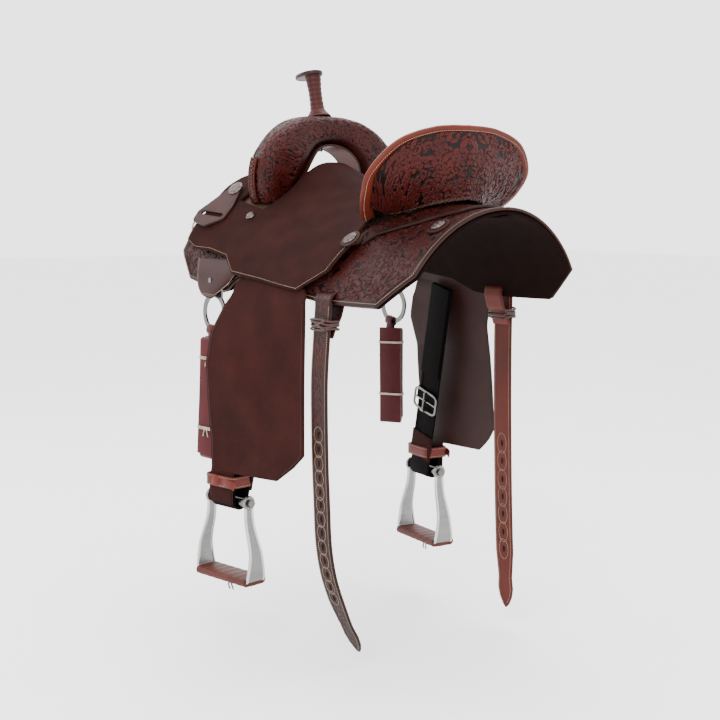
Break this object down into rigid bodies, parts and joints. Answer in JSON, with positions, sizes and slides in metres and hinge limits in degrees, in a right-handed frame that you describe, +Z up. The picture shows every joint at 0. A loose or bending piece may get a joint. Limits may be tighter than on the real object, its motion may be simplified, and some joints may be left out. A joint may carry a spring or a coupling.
{
  "type": "western barrel saddle",
  "caption": "Western barrel-racing saddle: tall horn, swell fork, deep cantle, carved skirts, rough-out seat and swinging fenders, aluminium stirrups, cinch straps and billets.",
  "frame": {"origin": "on the centre line, level with the top of the skirts behind the cantle, above the place where the back or rack carries the saddle", "axes": "+X to the horse's left (near side), +Y to the tail, +Z up"},
  "size_m": [0.5372, 0.6646, 1.0189],
  "materials": {
    "tooled_leather": "carved floral tooling, antiqued and oiled",
    "smooth_leather": "smooth oiled chestnut leather with stitched edges",
    "dark_leather": "dark laced and wrapped leather",
    "roughout_leather": "rough-out, napped brown leather",
    "lining_leather": "dark brown suede lining",
    "latigo_leather": "burgundy latigo leather",
    "black_leather": "black strap leather",
    "tree_wood": "rawhide-covered tree",
    "steel": "polished stainless steel",
    "aluminium": "brushed aluminium with bright rolled edges",
    "twine": "natural waxed thread"
  },
  "bodies": {
    "saddle": {"tree_bar_left": "tree_wood", "tree_bar_right": "tree_wood", "tree_fork": "tree_wood", "tree_cantle": "tree_wood", "horn_core": "steel", "horn_wrap": "dark_leather", "horn_cap": "dark_leather", "swell_cover": "tooled_leather", "swell_lacing": "dark_leather", "gullet_lining": "smooth_leather", "ground_seat": "tree_wood", "seat_leather": "roughout_leather", "cantle_facing": "tooled_leather", "cantle_binding": "smooth_leather", "cantle_back": "tooled_leather", "rear_jockey": "tooled_leather", "skirt_left": "tooled_leather", "skirt_right": "tooled_leather", "skirt_lining_left": "lining_leather", "skirt_lining_right": "lining_leather", "rear_patch": "lining_leather", "rigging_plate_left": "steel", "rigging_plate_right": "steel", "rigging_cover_left": "smooth_leather", "rigging_cover_right": "smooth_leather", "rigging_rivets": "steel", "rosettes": "dark_leather", "conchos": "steel", "ring_tabs": "dark_leather"},
    "fender_left": {"fender_left": "roughout_leather", "stirrup_leather_left": "black_leather", "leather_buckle_left": "steel", "hobble_strap_left": "smooth_leather"},
    "fender_right": {"fender_right": "roughout_leather", "stirrup_leather_right": "black_leather", "leather_buckle_right": "steel", "hobble_strap_right": "smooth_leather"},
    "tongue_left": {"buckle_tongue_left": "steel"},
    "tongue_right": {"buckle_tongue_right": "steel"},
    "stirrup_left": {"stirrup_left": "aluminium", "stirrup_bolt_left": "steel", "tread_wrap_left": "smooth_leather"},
    "stirrup_right": {"stirrup_right": "aluminium", "stirrup_bolt_right": "steel", "tread_wrap_right": "smooth_leather"},
    "latigo": {"latigo_left": "latigo_leather", "latigo_ties": "twine"},
    "off_billet": {"off_billet_right": "latigo_leather", "off_billet_ties": "twine"},
    "keeper_left": {"latigo_keeper_left": "dark_leather"},
    "keeper_right": {"latigo_keeper_right": "dark_leather"},
    "breast_ring_left": {"breast_ring_left": "steel"},
    "breast_ring_right": {"breast_ring_right": "steel"},
    "billet_left": {"rear_billet_left": "smooth_leather", "billet_lace_left": "dark_leather"},
    "billet_right": {"rear_billet_right": "smooth_leather", "billet_lace_right": "dark_leather"}
  },
  "joints": [
    {"name": "fender_left_swing", "type": "hinge", "parent": "saddle", "child": "fender_left", "pos_m": [0.17, -0.02, -0.066], "axis": [1, 0, 0], "range_deg": [-4, 2.5]},
    {"name": "fender_right_swing", "type": "hinge", "parent": "saddle", "child": "fender_right", "pos_m": [-0.17, -0.02, -0.066], "axis": [1, 0, 0], "range_deg": [-4, 2.5]},
    {"name": "stirrup_left_swing", "type": "hinge", "parent": "fender_left", "child": "stirrup_left", "pos_m": [0.2336, -0.094, -0.527], "axis": [-0.1392, 0.9903, 0], "range_deg": [-35, 35]},
    {"name": "stirrup_right_swing", "type": "hinge", "parent": "fender_right", "child": "stirrup_right", "pos_m": [-0.2336, -0.094, -0.527], "axis": [0.1392, 0.9903, 0], "range_deg": [-35, 35]},
    {"name": "tongue_left_flip", "type": "hinge", "parent": "fender_left", "child": "tongue_left", "pos_m": [0.20249, -0.0699, -0.40374], "axis": [-0.1289, 0.9662, -0.2231], "range_deg": [-100, 0]},
    {"name": "tongue_right_flip", "type": "hinge", "parent": "fender_right", "child": "tongue_right", "pos_m": [-0.20249, -0.0699, -0.40374], "axis": [0.1289, 0.9662, -0.2231], "range_deg": [0, 100]},
    {"name": "latigo_swing", "type": "hinge", "parent": "saddle", "child": "latigo", "pos_m": [0.213, -0.18096, -0.22977], "axis": [0, 0.9781, -0.2079], "range_deg": [-55, 12]},
    {"name": "off_billet_swing", "type": "hinge", "parent": "saddle", "child": "off_billet", "pos_m": [-0.213, -0.18096, -0.23377], "axis": [0, 0.9781, -0.2079], "range_deg": [-12, 55]},
    {"name": "keeper_left_turn", "type": "hinge", "parent": "saddle", "child": "keeper_left", "pos_m": [0.127, -0.222, 0.021], "axis": [0.7223, 0.1564, 0.6736], "range_deg": [-12, 12]},
    {"name": "keeper_right_turn", "type": "hinge", "parent": "saddle", "child": "keeper_right", "pos_m": [-0.127, -0.222, 0.021], "axis": [-0.7223, 0.1564, 0.6736], "range_deg": [-12, 12]},
    {"name": "breast_ring_left_lift", "type": "hinge", "parent": "saddle", "child": "breast_ring_left", "pos_m": [0.16995, -0.25709, -0.02184], "axis": [0.1954, 0.8458, -0.4964], "range_deg": [-3, 9]},
    {"name": "breast_ring_right_lift", "type": "hinge", "parent": "saddle", "child": "breast_ring_right", "pos_m": [-0.16995, -0.25709, -0.02184], "axis": [-0.1954, 0.8458, -0.4964], "range_deg": [-9, 3]},
    {"name": "billet_left_swing", "type": "hinge", "parent": "saddle", "child": "billet_left", "pos_m": [0.1925, 0.15, -0.1555], "axis": [0, 1, 0], "range_deg": [-45, 12]},
    {"name": "billet_right_swing", "type": "hinge", "parent": "saddle", "child": "billet_right", "pos_m": [-0.1925, 0.15, -0.1555], "axis": [0, 1, 0], "range_deg": [-12, 45]}
  ]
}
